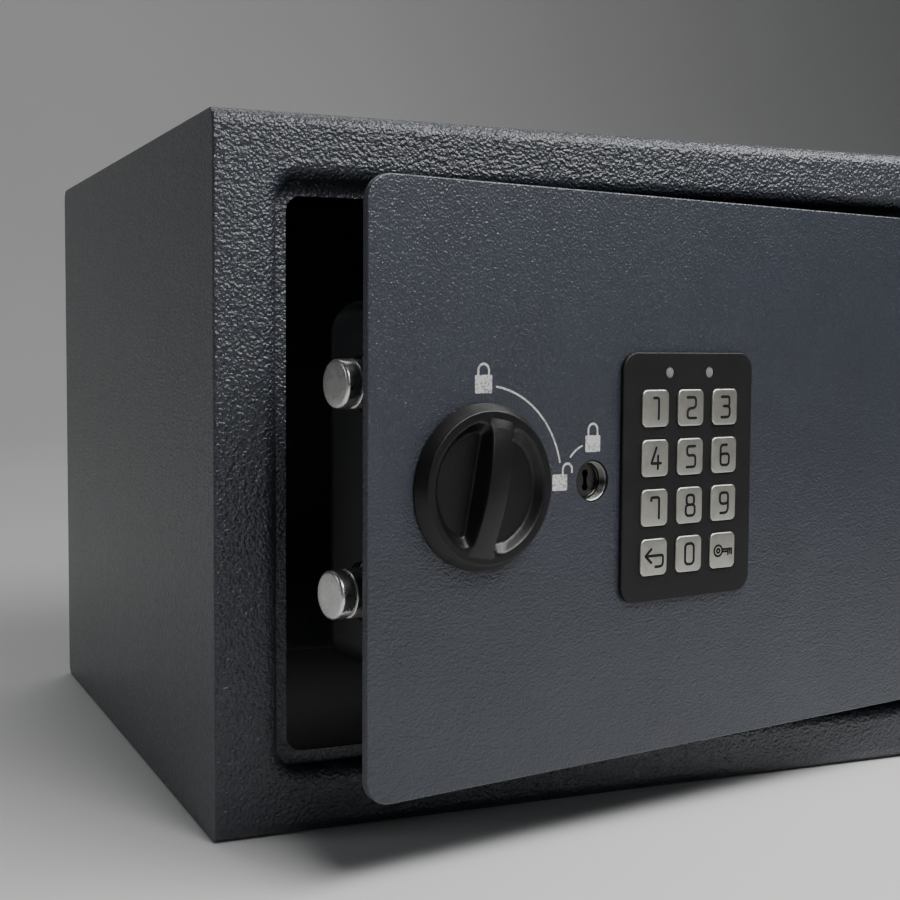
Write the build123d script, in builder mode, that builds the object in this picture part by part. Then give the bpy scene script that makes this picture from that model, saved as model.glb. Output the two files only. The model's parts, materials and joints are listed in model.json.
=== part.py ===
"""In-room electronic safe: folded steel cabinet, swinging steel door, knob-driven locking bolts,
override key lock, keypad and the lock mechanism behind the door.

Millimetres, +Z up. The origin is the centre of the cabinet's footprint, on the surface it stands on.
X runs to the right along the front, Y runs from the front to the back.
The door stands ajar by door_ajar_angle, with its bolts thrown and its knob in the locked position.
"""
from build123d import *
import math
import os

# ---- cabinet -------------------------------------------------------------------------------------
cabinet_width = 350.0
cabinet_height = 250.0
cabinet_depth = 300.0
sheet_thickness = 1.5
fold_radius = 5.5            # outside radius of the folded top, bottom and rear edges
side_edge_radius = 1.0       # outer edge of the welded side panels
frame_border = 23.0          # outer edge of the cabinet to the wall of the door recess
lip_radius = 5.5             # outside radius of the lip rolled in round the door recess
recess_corner_radius = 8.0
recess_depth = 15.0          # how far the wall of the door recess runs back
stop_depth = 8.5             # front of the cabinet to the front of the door stop
stop_width = 4.8             # how far the door stop stands in from the recess wall
stop_hinge_relief = 26.0     # stop left out beside the hinge
anchor_hole_diameter = 10.0
floor_anchor_spacing = 240.0
rear_anchor_spacing = 200.0
rear_anchor_height = 125.0
mat_thickness = 3.0
mat_margin = 2.0
mat_hole_diameter = 26.0

# ---- door ----------------------------------------------------------------------------------------
door_thickness = 3.0
door_recess = 0.5            # door face behind the cabinet's front face, when shut
door_gap_latch = 0.6
door_gap_hinge = 5.4
door_gap_ends = 3.6          # above and below the door
door_corner_radius = 9.0
door_edge_radius = 0.6
door_ajar_angle = 12.3
pivot_inset = 6.0            # hinge axis to the door's hinge edge
pivot_setback = 8.0          # hinge axis behind the door's face
hinge_pin_diameter = 5.0
hinge_running_clearance = 0.06
hinge_ear_thickness = 2.5
hinge_ear_drop = 3.0         # outer face of a hinge ear to the door's end
hinge_ear_radius = 5.0
hinge_bracket_height = 24.0
hinge_bracket_width = 16.0
washer_diameter = 8.0
washer_float = 0.3            # end play above and below the door
hinge_leaf_thickness = 2.0
rivet_rim = 1.0

# ---- bolt work -----------------------------------------------------------------------------------
bolt_diameter = 16.0
bolt_spacing = 67.0
bolt_seat = 3.0              # bolt behind the lock chassis
bolt_tip_inset = -0.4        # upper bolt's end to the door's latch edge, as it stands
bolt_length = 27.0           # upper bolt, without its tail
bolt_lead = 2.0              # how much further the lower bolt reaches
bolt_chamfer = 1.2
bolt_groove_width = 1.2
bolt_groove_depth = 0.6
bolt_groove_position = 4.5
bolt_tail_diameter = 8.0
bolt_throw = 10.0            # carriage travel over a quarter turn of the knob
bolt_running_clearance = 0.08
bolt_slot_clearance = 0.4      # round each bolt where it passes the lip of the recess
bush_wall = 2.0
bush_length = 6.0
carriage_thickness = 3.0
carriage_overhang = 9.0      # carriage bar beyond each bolt axis
carriage_depth = 13.0
tongue_thickness = 2.0
tongue_half_height = 16.0
tongue_length = 33.5
crank_pin_diameter = 5.0
crank_pin_slack = 0.45
crank_arm_thickness = 4.0
crank_arm_setback = 20.0
crank_hub_diameter = 12.0
crank_end_radius = 5.0
spindle_diameter = 8.0
spindle_running_clearance = 0.06
spindle_bush_wall = 2.0
spindle_bush_flange = 18.0
spindle_bush_flange_thickness = 1.5

# ---- knob ----------------------------------------------------------------------------------------
knob_offset = 44.5           # knob axis from the door's latch edge
knob_diameter = 55.0
knob_rim_diameter = 50.2     # outer edge of the rim's front
knob_rim_height = 4.2
knob_rim_width = 3.0
knob_floor_height = 1.2      # bottom of the two finger recesses
knob_grip_height = 8.4       # crest of the grip bar at the middle
knob_grip_width = 8.0
knob_gap = 0.4               # knob above the door's face
knob_turned = 11.0            # grip bar clockwise of upright, where it stands

# ---- override key lock ---------------------------------------------------------------------------
keylock_offset = 91.3
keylock_thread_diameter = 14.2
keylock_hole_clearance = 0.1
keylock_mouth_diameter = 13.2
keylock_mouth_depth = 3.3
keylock_face_setback = 0.6
keylock_flange_diameter = 21.0
keylock_flange_thickness = 2.5
keylock_body_diameter = 17.0
keylock_length = 28.0
key_plug_diameter = 11.0
key_plug_clearance = 0.06
keyway_height = 7.2
keyway_width = 1.6
keyway_bulb_diameter = 2.6
keyway_depth = 20.0
key_cam_thickness = 2.0
key_cam_reach = 13.0

# ---- keypad --------------------------------------------------------------------------------------
keypad_offset = 135.6
keypad_margin = 8.4          # outer keys to the keypad's side edges
keypad_height = 88.0
keypad_corner_radius = 6.5
keypad_rise = 1.6
keypad_body_inset = 3.0
keypad_body_depth = 5.4
keypad_body_wall = 1.6
keypad_body_clearance = 0.2
key_width = 12.65
key_height = 13.1
key_corner_radius = 2.2
key_clearance = 0.3
key_rise = 1.0
key_travel = 0.8
key_flange = 0.9
key_flange_thickness = 0.9
key_column_pitch = 17.1
key_row_pitch = 17.5
key_top_row = 24.4           # first row above the keypad's middle
indicator_diameter = 4.0
indicator_spacing = 19.6
indicator_height = 37.0
membrane_thickness = 0.8
board_thickness = 1.6

# ---- lock case and what it holds -----------------------------------------------------------------
case_inset = 10.5            # case from the door's latch edge
case_width = 178.0
case_height = 121.0
case_depth = 40.0
case_wall = 2.0
case_corner_radius = 11.0
case_gap = 0.3               # case above the door's back
chassis_setback = 6.0
chassis_margin = 4.0         # chassis in from the case's inner edge
chassis_flange_depth = 24.0
post_diameter = 7.0
post_tip_diameter = 5.0
post_margin = 11.0           # posts in from the case's outer edge
screw_diameter = 3.0
screw_head_diameter = 6.0
screw_head_height = 2.0
screw_length = 9.0
nut_width = 8.0
nut_height = 3.0
battery_diameter = 14.2
battery_length = 49.0
battery_nub_diameter = 5.5
battery_nub_height = 1.3
battery_gap = 0.8
battery_count = 4
tray_wall = 1.5
tray_setback = 21.0
tray_offset = 148.0
lid_clearance = 0.4
main_board_width = 52.0
main_board_height = 70.0
main_board_setback = 12.0
board_post_diameter = 4.0
solenoid_offset = 54.0
solenoid_bottom = 22.0
solenoid_width = 20.0
solenoid_height = 24.0
solenoid_depth = 17.0
solenoid_frame_thickness = 1.5
coil_diameter = 13.0
plunger_diameter = 5.0
plunger_clearance = 0.1
plunger_travel = 4.0
plunger_tip_gap = 0.4
notch_width = 6.0
notch_depth = 4.0
reset_button_diameter = 6.0
reset_button_clearance = 0.3
reset_button_rise = 1.5
reset_button_length = 9.0
reset_button_offset = 30.0   # from the case's hinge-side edge
reset_button_height = 44.0

# ---- worked out from the sizes above -------------------------------------------------------------
front_y = -cabinet_depth / 2
latch_x = -cabinet_width / 2 + frame_border + door_gap_latch
recess_width = cabinet_width - 2 * frame_border
recess_height = cabinet_height - 2 * frame_border
door_width = recess_width - door_gap_latch - door_gap_hinge
door_height = recess_height - 2 * door_gap_ends
mid_height = cabinet_height / 2
pivot_offset = door_width - pivot_inset
pivot = Vector(latch_x + pivot_offset, front_y + door_recess + pivot_setback, 0)
ajar = math.radians(door_ajar_angle)
door_right = Vector(math.cos(ajar), math.sin(ajar), 0)
door_inward = Vector(-math.sin(ajar), math.cos(ajar), 0)
door_origin = pivot - door_right * pivot_offset - door_inward * pivot_setback + Vector(0, 0, mid_height)
crank_radius = bolt_throw / math.sqrt(2)
keypad_width = 2 * key_column_pitch + key_width + 2 * keypad_margin
case_middle = case_inset + case_width / 2
post_span_x = case_width - 2 * post_margin
post_span_y = case_height - 2 * post_margin
case_back = door_thickness + case_gap + case_depth
bolt_tail = bolt_tip_inset + bolt_length
bolt_setback = chassis_setback + sheet_thickness + bolt_seat + bolt_diameter / 2

os.makedirs("parts", exist_ok=True)


def door_face(setback):
    """Plane parallel to the door's face, setback behind it. Its x runs from the latch edge to the
    hinge, its y up from the door's middle, and its normal out of the front."""
    return Plane(origin=door_origin + door_inward * setback, x_dir=door_right, z_dir=-door_inward)


def door_edge(offset, setback=0.0):
    """Plane across the door, offset from its latch edge. Its x runs into the safe, its y down, and its
    normal away from the hinge."""
    origin = door_origin + door_right * offset + door_inward * setback
    return Plane(origin=origin, x_dir=door_inward, z_dir=-door_right)


def door_level(height, offset=0.0, setback=0.0):
    """Level plane at a height above the door's middle. Its x runs towards the hinge, its y inward."""
    origin = door_origin + door_right * offset + door_inward * setback + Vector(0, 0, height)
    return Plane(origin=origin, x_dir=door_right, z_dir=Vector(0, 0, 1))


def save(piece, label):
    """Name a finished piece and write it."""
    piece.part.label = label
    export_step(piece.part, "parts/" + label + ".step")


# ==== cabinet =====================================================================================
def side_outline(inset):
    """The cabinet's outline seen from the side, drawn inside its outer face by inset."""
    RectangleRounded(cabinet_depth - 2 * inset, cabinet_height - 2 * inset, fold_radius - inset)


side_middle = Vector(0, 0, mid_height)
wrap_width = cabinet_width - 2 * sheet_thickness
left_side_plane = Plane(origin=side_middle - Vector(wrap_width / 2, 0, 0), x_dir=(0, 1, 0), z_dir=(1, 0, 0))
front_plane = Plane(origin=(0, front_y, mid_height), x_dir=(1, 0, 0), z_dir=(0, 1, 0))
bolt_slot_depth = recess_depth - stop_depth - sheet_thickness + bolt_slot_clearance
lip_corner = (-recess_width / 2 - sheet_thickness, front_y + recess_depth, mid_height)
left_lip_plane = Plane(origin=lip_corner, x_dir=(0, 1, 0), z_dir=(1, 0, 0))
back_plane = Plane(origin=(0, -front_y, rear_anchor_height), x_dir=(1, 0, 0), z_dir=(0, -1, 0))

# Folded wrap: front with the rolled-in lip, top, back and floor in one sheet.
with BuildPart() as cabinet_wrap:
    with BuildSketch(left_side_plane):
        side_outline(0)
        offset(amount=-sheet_thickness, mode=Mode.SUBTRACT)
    extrude(amount=wrap_width)
    with BuildSketch(front_plane):
        outer_corner = recess_corner_radius + sheet_thickness
        RectangleRounded(
            recess_width + 2 * sheet_thickness, recess_height + 2 * sheet_thickness, outer_corner
        )
    extrude(amount=recess_depth)
    inner_root = cabinet_wrap.edges().filter_by_position(
        Axis.Y, front_y + sheet_thickness - 0.01, front_y + sheet_thickness + 0.01
    )
    inner_root = inner_root.filter_by(lambda e: abs(e.center().X) < recess_width / 2 + 3 * sheet_thickness)
    inner_root = inner_root.filter_by(
        lambda e: abs(e.center().Z - mid_height) < recess_height / 2 + 2 * sheet_thickness
    )
    fillet(inner_root, lip_radius - sheet_thickness)
    with BuildSketch(front_plane):
        RectangleRounded(recess_width, recess_height, recess_corner_radius)
    extrude(amount=recess_depth, mode=Mode.SUBTRACT)
    mouth = cabinet_wrap.edges().group_by(Axis.Y)[0]
    mouth = mouth.filter_by(lambda e: abs(e.center().X) < recess_width / 2 + 1)
    mouth = mouth.filter_by(lambda e: abs(e.center().Z - mid_height) < recess_height / 2 + 1)
    fillet(mouth, lip_radius)
    with BuildSketch(left_lip_plane):
        with GridLocations(0, bolt_spacing, 1, 2):
            Rectangle(2 * bolt_slot_depth, bolt_diameter + 2 * bolt_slot_clearance)
    extrude(amount=sheet_thickness, mode=Mode.SUBTRACT)
    with BuildSketch(Plane.XY):
        with GridLocations(floor_anchor_spacing, 0, 2, 1):
            Circle(anchor_hole_diameter / 2)
    extrude(amount=sheet_thickness, mode=Mode.SUBTRACT)
    with BuildSketch(back_plane):
        with GridLocations(rear_anchor_spacing, 0, 2, 1):
            Circle(anchor_hole_diameter / 2)
    extrude(amount=sheet_thickness, mode=Mode.SUBTRACT)
    with BuildSketch(Plane(origin=(pivot.X, pivot.Y, frame_border - 2 * sheet_thickness))):
        Circle(hinge_pin_diameter / 2)
    extrude(amount=recess_height + 4 * sheet_thickness, mode=Mode.SUBTRACT)
save(cabinet_wrap, "cabinet_wrap")

# Side panels welded over the ends of the wrap.
for side_name, side_sign in (("left_side_panel", -1), ("right_side_panel", 1)):
    seat_x = side_sign * wrap_width / 2
    side_plane = Plane(origin=side_middle + Vector(seat_x, 0, 0), x_dir=(0, 1, 0), z_dir=(side_sign, 0, 0))
    with BuildPart() as side_panel:
        with BuildSketch(side_plane):
            side_outline(0)
        extrude(amount=sheet_thickness)
        outer_rim = side_panel.faces().sort_by(Axis.X)[-1 if side_sign > 0 else 0].edges()
        fillet(outer_rim, side_edge_radius)
    save(side_panel, side_name)

# Door stop: a flange inside the recess on the latch side, top and bottom, left out by the hinge.
stop_plane = Plane(origin=(0, front_y + stop_depth, mid_height), x_dir=(1, 0, 0), z_dir=(0, 1, 0))
with BuildPart() as door_stop_frame:
    with BuildSketch(stop_plane):
        RectangleRounded(recess_width, recess_height, recess_corner_radius)
        RectangleRounded(
            recess_width - 2 * stop_width, recess_height - 2 * stop_width,
            recess_corner_radius - stop_width / 2, mode=Mode.SUBTRACT,
        )
        with Locations((recess_width / 2 - stop_hinge_relief / 2, 0)):
            Rectangle(stop_hinge_relief, recess_height, mode=Mode.SUBTRACT)
    extrude(amount=sheet_thickness)
save(door_stop_frame, "door_stop_frame")

# Hinge pins riveted through the recess wall, above and below the door.
ear_face = door_height / 2 - hinge_ear_drop
pin_inner = ear_face - hinge_ear_thickness - hinge_ear_drop
pin_outer = recess_height / 2 + 2 * sheet_thickness
hinge_ends = (-1, 1)
with BuildPart() as hinge_pins:
    for end in hinge_ends:
        pin_start = Plane(origin=(pivot.X, pivot.Y, mid_height + end * pin_inner), z_dir=(0, 0, end))
        with BuildSketch(pin_start):
            Circle(hinge_pin_diameter / 2)
        extrude(amount=pin_outer - pin_inner)
        rivet_height = mid_height + end * (recess_height / 2 + sheet_thickness)
        rivet_seat = Plane(origin=(pivot.X, pivot.Y, rivet_height), z_dir=(0, 0, end))
        with BuildSketch(rivet_seat):
            Circle(hinge_pin_diameter / 2 + rivet_rim)
        extrude(amount=sheet_thickness)
save(hinge_pins, "hinge_pins")

# Nylon washers that fill the gap between the recess wall and the hinge ears.
with BuildPart() as hinge_washers:
    for end in hinge_ends:
        washer_height = mid_height + end * (ear_face + hinge_running_clearance)
        washer_seat = Plane(origin=(pivot.X, pivot.Y, washer_height), z_dir=(0, 0, end))
        with BuildSketch(washer_seat):
            Circle(washer_diameter / 2)
            Circle(hinge_pin_diameter / 2, mode=Mode.SUBTRACT)
        extrude(amount=recess_height / 2 - ear_face - hinge_running_clearance - washer_float)
save(hinge_washers, "hinge_washers")

# Felt mat on the cabinet's floor, open round the anchor holes.
mat_width = wrap_width - 2 * mat_margin
mat_depth = cabinet_depth - recess_depth - sheet_thickness - 2 * fold_radius - mat_margin
with BuildPart() as floor_mat:
    with BuildSketch(Plane(origin=(0, recess_depth / 2, sheet_thickness))):
        Rectangle(mat_width, mat_depth)
    extrude(amount=mat_thickness)
    with BuildSketch(Plane(origin=(0, 0, sheet_thickness))):
        with GridLocations(floor_anchor_spacing, 0, 2, 1):
            Circle(mat_hole_diameter / 2)
    extrude(amount=mat_thickness, mode=Mode.SUBTRACT)
save(floor_mat, "floor_mat")

# ==== door ========================================================================================
keypad_body_width = keypad_width - 2 * keypad_body_inset
keypad_body_height = keypad_height - 2 * keypad_body_inset
bush_hole = spindle_diameter / 2 + spindle_running_clearance + spindle_bush_wall

# Steel door plate with openings for the knob spindle, the key lock and the keypad body.
with BuildPart() as door_plate:
    with BuildSketch(door_face(0)):
        with Locations((door_width / 2, 0)):
            RectangleRounded(door_width, door_height, door_corner_radius)
        with Locations((knob_offset, 0)):
            Circle(bush_hole, mode=Mode.SUBTRACT)
        with Locations((keylock_offset, 0)):
            Circle(keylock_thread_diameter / 2 + keylock_hole_clearance, mode=Mode.SUBTRACT)
        with Locations((keypad_offset, 0)):
            Rectangle(keypad_body_width, keypad_body_height, mode=Mode.SUBTRACT)
    extrude(amount=-door_thickness)
    rim = door_plate.edges().filter_by(
        lambda e: abs((e.center() - door_origin).dot(door_right) - door_width / 2) > door_width / 2 - 4
        or abs(e.center().Z - mid_height) > door_height / 2 - 4
    )
    rim = rim.filter_by(lambda e: abs(e.tangent_at(0.5).dot(door_inward)) < 0.5)
    fillet(rim, door_edge_radius)
save(door_plate, "door_plate")

# Hinge brackets welded to the door's back, each with an ear that turns on a pin.
with BuildPart() as hinge_brackets:
    for end in hinge_ends:
        leaf_middle = end * (ear_face - hinge_bracket_height / 2)
        with BuildSketch(door_face(door_thickness)):
            with Locations((pivot_offset - hinge_ear_radius, leaf_middle)):
                Rectangle(hinge_bracket_width, hinge_bracket_height)
        extrude(amount=-hinge_leaf_thickness)
        ear_base = min(end * ear_face, end * (ear_face - hinge_ear_thickness))
        with BuildSketch(door_level(ear_base, pivot_offset)):
            with Locations((0, pivot_setback)):
                Circle(hinge_ear_radius)
            with Locations((-hinge_bracket_width / 2, (door_thickness + pivot_setback) / 2)):
                Rectangle(hinge_bracket_width / 2 + 1, pivot_setback - door_thickness)
            with Locations((-hinge_ear_radius, (door_thickness + pivot_setback) / 2)):
                Rectangle(hinge_bracket_width, pivot_setback - door_thickness)
        extrude(amount=hinge_ear_thickness)
        with BuildSketch(door_level(ear_base, pivot_offset)):
            with Locations((0, pivot_setback)):
                Circle(hinge_pin_diameter / 2 + hinge_running_clearance)
        extrude(amount=hinge_ear_thickness, mode=Mode.SUBTRACT)
save(hinge_brackets, "hinge_brackets")


def post_places():
    """The four posts' places, about the current location."""
    return GridLocations(post_span_x, post_span_y, 2, 2)


# Posts welded to the door's back. The lock chassis sits on their shoulders and the case on their ends.
post_end = case_back - case_wall
with BuildPart() as door_posts:
    with BuildSketch(door_face(door_thickness)):
        with Locations((case_middle, 0)):
            with post_places():
                Circle(post_diameter / 2)
    extrude(amount=door_thickness - chassis_setback)
    with BuildSketch(door_face(chassis_setback)):
        with Locations((case_middle, 0)):
            with post_places():
                Circle(post_tip_diameter / 2)
    extrude(amount=chassis_setback - post_end)
    with BuildSketch(door_face(post_end)):
        with Locations((case_middle, 0)):
            with post_places():
                Circle(screw_diameter / 2)
    extrude(amount=screw_length, mode=Mode.SUBTRACT)
save(door_posts, "door_posts")

# ==== bolt work ===================================================================================
bolt_rows = (-bolt_spacing / 2, bolt_spacing / 2)
bush_radius = bolt_diameter / 2 + bolt_running_clearance + bush_wall
chassis_left = case_inset + case_wall + chassis_margin
chassis_width = case_width - 2 * case_wall - 2 * chassis_margin
chassis_height = case_height - 2 * case_wall - 2 * chassis_margin
chassis_back = chassis_setback + sheet_thickness

# Lock chassis: a steel plate on the posts, with one side folded back to carry the bolt bushes.
with BuildPart() as lock_chassis:
    with BuildSketch(door_face(chassis_setback)):
        with Locations((case_middle, 0)):
            Rectangle(chassis_width, chassis_height)
            with post_places():
                Circle(post_tip_diameter / 2, mode=Mode.SUBTRACT)
        with Locations((knob_offset, 0)):
            Circle(spindle_bush_flange / 2 + crank_pin_slack, mode=Mode.SUBTRACT)
        with Locations((keylock_offset, 0)):
            Circle(keylock_body_diameter / 2, mode=Mode.SUBTRACT)
        with Locations((keypad_offset, 0)):
            SlotOverall(key_row_pitch, key_row_pitch / 3, mode=Mode.SUBTRACT)
    extrude(amount=-sheet_thickness)
    with BuildSketch(door_edge(chassis_left + sheet_thickness, chassis_setback)):
        with Locations((chassis_flange_depth / 2, 0)):
            Rectangle(chassis_flange_depth, bolt_spacing + 2 * bush_radius + 2 * bush_wall)
        for row in bolt_rows:
            with Locations((bolt_setback - chassis_setback, row)):
                Circle(bush_radius, mode=Mode.SUBTRACT)
    extrude(amount=sheet_thickness)
save(lock_chassis, "lock_chassis")

# Nylon bushes that the bolts slide in.
with BuildPart() as bolt_bushes:
    for row in bolt_rows:
        with BuildSketch(door_edge(chassis_left + bush_length - 2 * sheet_thickness, bolt_setback)):
            with Locations((0, row)):
                Circle(bush_radius)
                Circle(bolt_diameter / 2 + bolt_running_clearance, mode=Mode.SUBTRACT)
        extrude(amount=bush_length)
save(bolt_bushes, "bolt_bushes")

# Locking bolts: round bars with a chamfered end, a groove behind it and a riveted tail.
with BuildPart() as locking_bolts:
    for row, tip in ((bolt_rows[0], bolt_tip_inset), (bolt_rows[1], bolt_tip_inset - bolt_lead)):
        with BuildSketch(door_edge(bolt_tail, bolt_setback)):
            with Locations((0, row)):
                Circle(bolt_diameter / 2)
        extrude(amount=bolt_tail - tip)
        with BuildSketch(door_edge(tip + bolt_groove_position + bolt_groove_width, bolt_setback)):
            with Locations((0, row)):
                Circle(bolt_diameter / 2)
                Circle(bolt_diameter / 2 - bolt_groove_depth, mode=Mode.SUBTRACT)
        extrude(amount=bolt_groove_width, mode=Mode.SUBTRACT)
        with BuildSketch(door_edge(bolt_tail + carriage_thickness, bolt_setback)):
            with Locations((0, row)):
                Circle(bolt_tail_diameter / 2)
        extrude(amount=carriage_thickness)
    tips = locking_bolts.faces().filter_by(
        lambda f: (f.center() - door_origin).dot(door_right) < bolt_tip_inset + 0.1
    )
    chamfer(tips.edges(), bolt_chamfer)
save(locking_bolts, "locking_bolts")

# Bolt carriage: a bar that carries both bolts and a tongue that the crank drives.
tongue_back = bolt_setback + carriage_depth / 2 + tongue_thickness
tongue_end = bolt_tail + tongue_length
slot_width = crank_pin_diameter + 2 * crank_pin_slack
pin_low = crank_radius / math.sqrt(2) - slot_width / 2 - crank_pin_slack
pin_high = crank_radius + slot_width / 2 + crank_pin_slack
standing_slot_offset = knob_offset - crank_radius * math.sin(math.radians(45.0 - knob_turned))
notch_offset = solenoid_offset + standing_slot_offset - (knob_offset - bolt_throw / 2)
with BuildPart() as bolt_carriage:
    with BuildSketch(door_edge(bolt_tail + carriage_thickness, bolt_setback)):
        Rectangle(carriage_depth, bolt_spacing + 2 * carriage_overhang)
        with Locations((0, bolt_rows[0]), (0, bolt_rows[1])):
            Circle(bolt_tail_diameter / 2, mode=Mode.SUBTRACT)
    extrude(amount=carriage_thickness)
    with BuildSketch(door_face(tongue_back)):
        with Locations(((bolt_tail + tongue_end) / 2, 0)):
            Rectangle(tongue_end - bolt_tail, 2 * tongue_half_height)
        with Locations((standing_slot_offset, (pin_low + pin_high) / 2)):
            SlotOverall(pin_high - pin_low, slot_width, rotation=90, mode=Mode.SUBTRACT)
        with Locations((notch_offset, tongue_half_height - notch_depth / 2)):
            Rectangle(notch_width, notch_depth, mode=Mode.SUBTRACT)
    extrude(amount=tongue_thickness)
save(bolt_carriage, "bolt_carriage")

# ==== knob and spindle ============================================================================
knob_front = -knob_gap - knob_rim_height
turn = math.radians(knob_turned)
grip_up = Vector(0, 0, 1) * math.cos(turn) + door_right * math.sin(turn)
grip_right = door_right * math.cos(turn) - Vector(0, 0, 1) * math.sin(turn)
grip_foot = door_origin + door_right * knob_offset - door_inward * knob_gap
grip_side = Plane(origin=grip_foot, x_dir=grip_up, z_dir=grip_right)
grip_half_length = (knob_rim_diameter - knob_rim_width) / 2

# Round knob: a tapered disc with a raised rim, two finger recesses and a domed grip bar between them.
with BuildPart() as knob:
    with BuildSketch(door_face(-knob_gap)):
        with Locations((knob_offset, 0)):
            Circle(knob_diameter / 2)
    with BuildSketch(door_face(knob_front)):
        with Locations((knob_offset, 0)):
            Circle(knob_rim_diameter / 2)
    loft()
    with BuildSketch(door_face(knob_front)):
        with Locations((knob_offset, 0)):
            Circle(knob_rim_diameter / 2 - knob_rim_width)
    extrude(amount=knob_floor_height - knob_rim_height, mode=Mode.SUBTRACT)
    with BuildSketch(grip_side):
        with BuildLine():
            Polyline(
                (-grip_half_length, knob_rim_height), (-grip_half_length, knob_floor_height / 2),
                (grip_half_length, knob_floor_height / 2), (grip_half_length, knob_rim_height),
            )
            grip_end = (grip_half_length, knob_rim_height)
            ThreePointArc(grip_end, (0, knob_grip_height), (-grip_half_length, knob_rim_height))
        make_face()
    extrude(amount=knob_grip_width / 2, both=True)
    with BuildSketch(door_face(-knob_gap)):
        with Locations((knob_offset, 0)):
            Circle(spindle_diameter / 2)
    extrude(amount=knob_rim_height, mode=Mode.SUBTRACT)
save(knob, "knob")

# Spindle with the crank arm and pin that drive the carriage.
crank_front = crank_arm_setback + crank_arm_thickness
standing_pin_angle = math.radians(135.0 - knob_turned)
standing_pin = (
    knob_offset + crank_radius * math.cos(standing_pin_angle),
    crank_radius * math.sin(standing_pin_angle),
)
with BuildPart() as knob_spindle:
    with BuildSketch(door_face(crank_front)):
        with Locations((knob_offset, 0)):
            Circle(spindle_diameter / 2)
    extrude(amount=crank_front + knob_gap + knob_rim_height)
    with BuildSketch(door_face(crank_front)):
        with Locations((knob_offset, 0)):
            Circle(crank_hub_diameter / 2)
        with Locations(standing_pin):
            Circle(crank_end_radius)
        make_hull()
    extrude(amount=crank_arm_thickness)
    with BuildSketch(door_face(tongue_back + tongue_thickness / 2)):
        with Locations(standing_pin):
            Circle(crank_pin_diameter / 2)
    extrude(amount=tongue_back + tongue_thickness / 2 - crank_front)
save(knob_spindle, "knob_spindle")

# Flanged nylon bush for the spindle, pressed into the door from behind.
with BuildPart() as spindle_bush:
    with BuildSketch(door_face(door_thickness)):
        with Locations((knob_offset, 0)):
            Circle(bush_hole)
    extrude(amount=door_thickness)
    with BuildSketch(door_face(door_thickness + spindle_bush_flange_thickness)):
        with Locations((knob_offset, 0)):
            Circle(spindle_bush_flange / 2)
    extrude(amount=spindle_bush_flange_thickness)
    with BuildSketch(door_face(door_thickness + spindle_bush_flange_thickness)):
        with Locations((knob_offset, 0)):
            Circle(spindle_diameter / 2 + spindle_running_clearance)
    extrude(amount=door_thickness + spindle_bush_flange_thickness, mode=Mode.SUBTRACT)
save(spindle_bush, "spindle_bush")

# ==== override key lock ===========================================================================
keylock_back = keylock_face_setback + keylock_length
plug_face = keylock_face_setback + keylock_mouth_depth
# Key lock housing: threaded front in the door, flange behind the door, body through the chassis.
with BuildPart() as keylock_housing:
    with BuildSketch(door_face(keylock_back)):
        with Locations((keylock_offset, 0)):
            Circle(keylock_thread_diameter / 2)
    extrude(amount=keylock_length)
    with BuildSketch(door_face(keylock_back)):
        with Locations((keylock_offset, 0)):
            Circle(keylock_body_diameter / 2)
    extrude(amount=keylock_back - door_thickness)
    with BuildSketch(door_face(door_thickness + keylock_flange_thickness)):
        with Locations((keylock_offset, 0)):
            Circle(keylock_flange_diameter / 2)
    extrude(amount=keylock_flange_thickness)
    with BuildSketch(door_face(keylock_back)):
        with Locations((keylock_offset, 0)):
            Circle(key_plug_diameter / 2 + key_plug_clearance)
    extrude(amount=keylock_length, mode=Mode.SUBTRACT)
    with BuildSketch(door_face(plug_face)):
        with Locations((keylock_offset, 0)):
            Circle(keylock_mouth_diameter / 2)
    extrude(amount=keylock_mouth_depth, mode=Mode.SUBTRACT)
save(keylock_housing, "keylock_housing")

# Key plug that turns in the housing, with its keyway.
with BuildPart() as key_plug:
    with BuildSketch(door_face(keylock_back + key_plug_clearance)):
        with Locations((keylock_offset, 0)):
            Circle(key_plug_diameter / 2)
    extrude(amount=keylock_back + key_plug_clearance - plug_face)
    with BuildSketch(door_face(plug_face)):
        with Locations((keylock_offset, 0)):
            Rectangle(keyway_width, keyway_height)
        with Locations((keylock_offset, keyway_height / 2 - keyway_bulb_diameter / 2)):
            Circle(keyway_bulb_diameter / 2)
        with Locations((keylock_offset, keyway_bulb_diameter / 2 - keyway_height / 2)):
            Circle(keyway_bulb_diameter / 2)
    extrude(amount=-keyway_depth, mode=Mode.SUBTRACT)
save(key_plug, "key_plug")

# Cam on the plug's inner end, which lifts the plunger when the key is turned.
with BuildPart() as key_cam:
    with BuildSketch(door_face(keylock_back + key_plug_clearance + key_cam_thickness)):
        with Locations((keylock_offset, 0)):
            Circle(key_plug_diameter / 2 + sheet_thickness)
        with Locations((keylock_offset, key_cam_reach - key_plug_diameter / 2)):
            Circle(key_plug_diameter / 2)
        make_hull()
    extrude(amount=key_cam_thickness)
save(key_cam, "key_cam")

# ==== keypad ======================================================================================
key_columns = (-key_column_pitch, 0.0, key_column_pitch)
key_rows = tuple(key_top_row - row * key_row_pitch for row in range(4))
key_names = (
    ("key_1", "key_2", "key_3"),
    ("key_4", "key_5", "key_6"),
    ("key_7", "key_8", "key_9"),
    ("key_return", "key_0", "key_unlock"),
)
key_places = [(keypad_offset + column, row) for row in key_rows for column in key_columns]
indicator_places = [(keypad_offset + side * indicator_spacing / 2, indicator_height) for side in (-1, 1)]
membrane_width = keypad_body_width - 2 * keypad_body_clearance - 2 * keypad_body_wall
membrane_height = keypad_body_height - 2 * keypad_body_clearance - 2 * keypad_body_wall
flange_clearance = 0.1
membrane_setback = flange_clearance + key_flange_thickness + key_travel + flange_clearance
keypad_board_setback = membrane_setback + membrane_thickness

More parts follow.
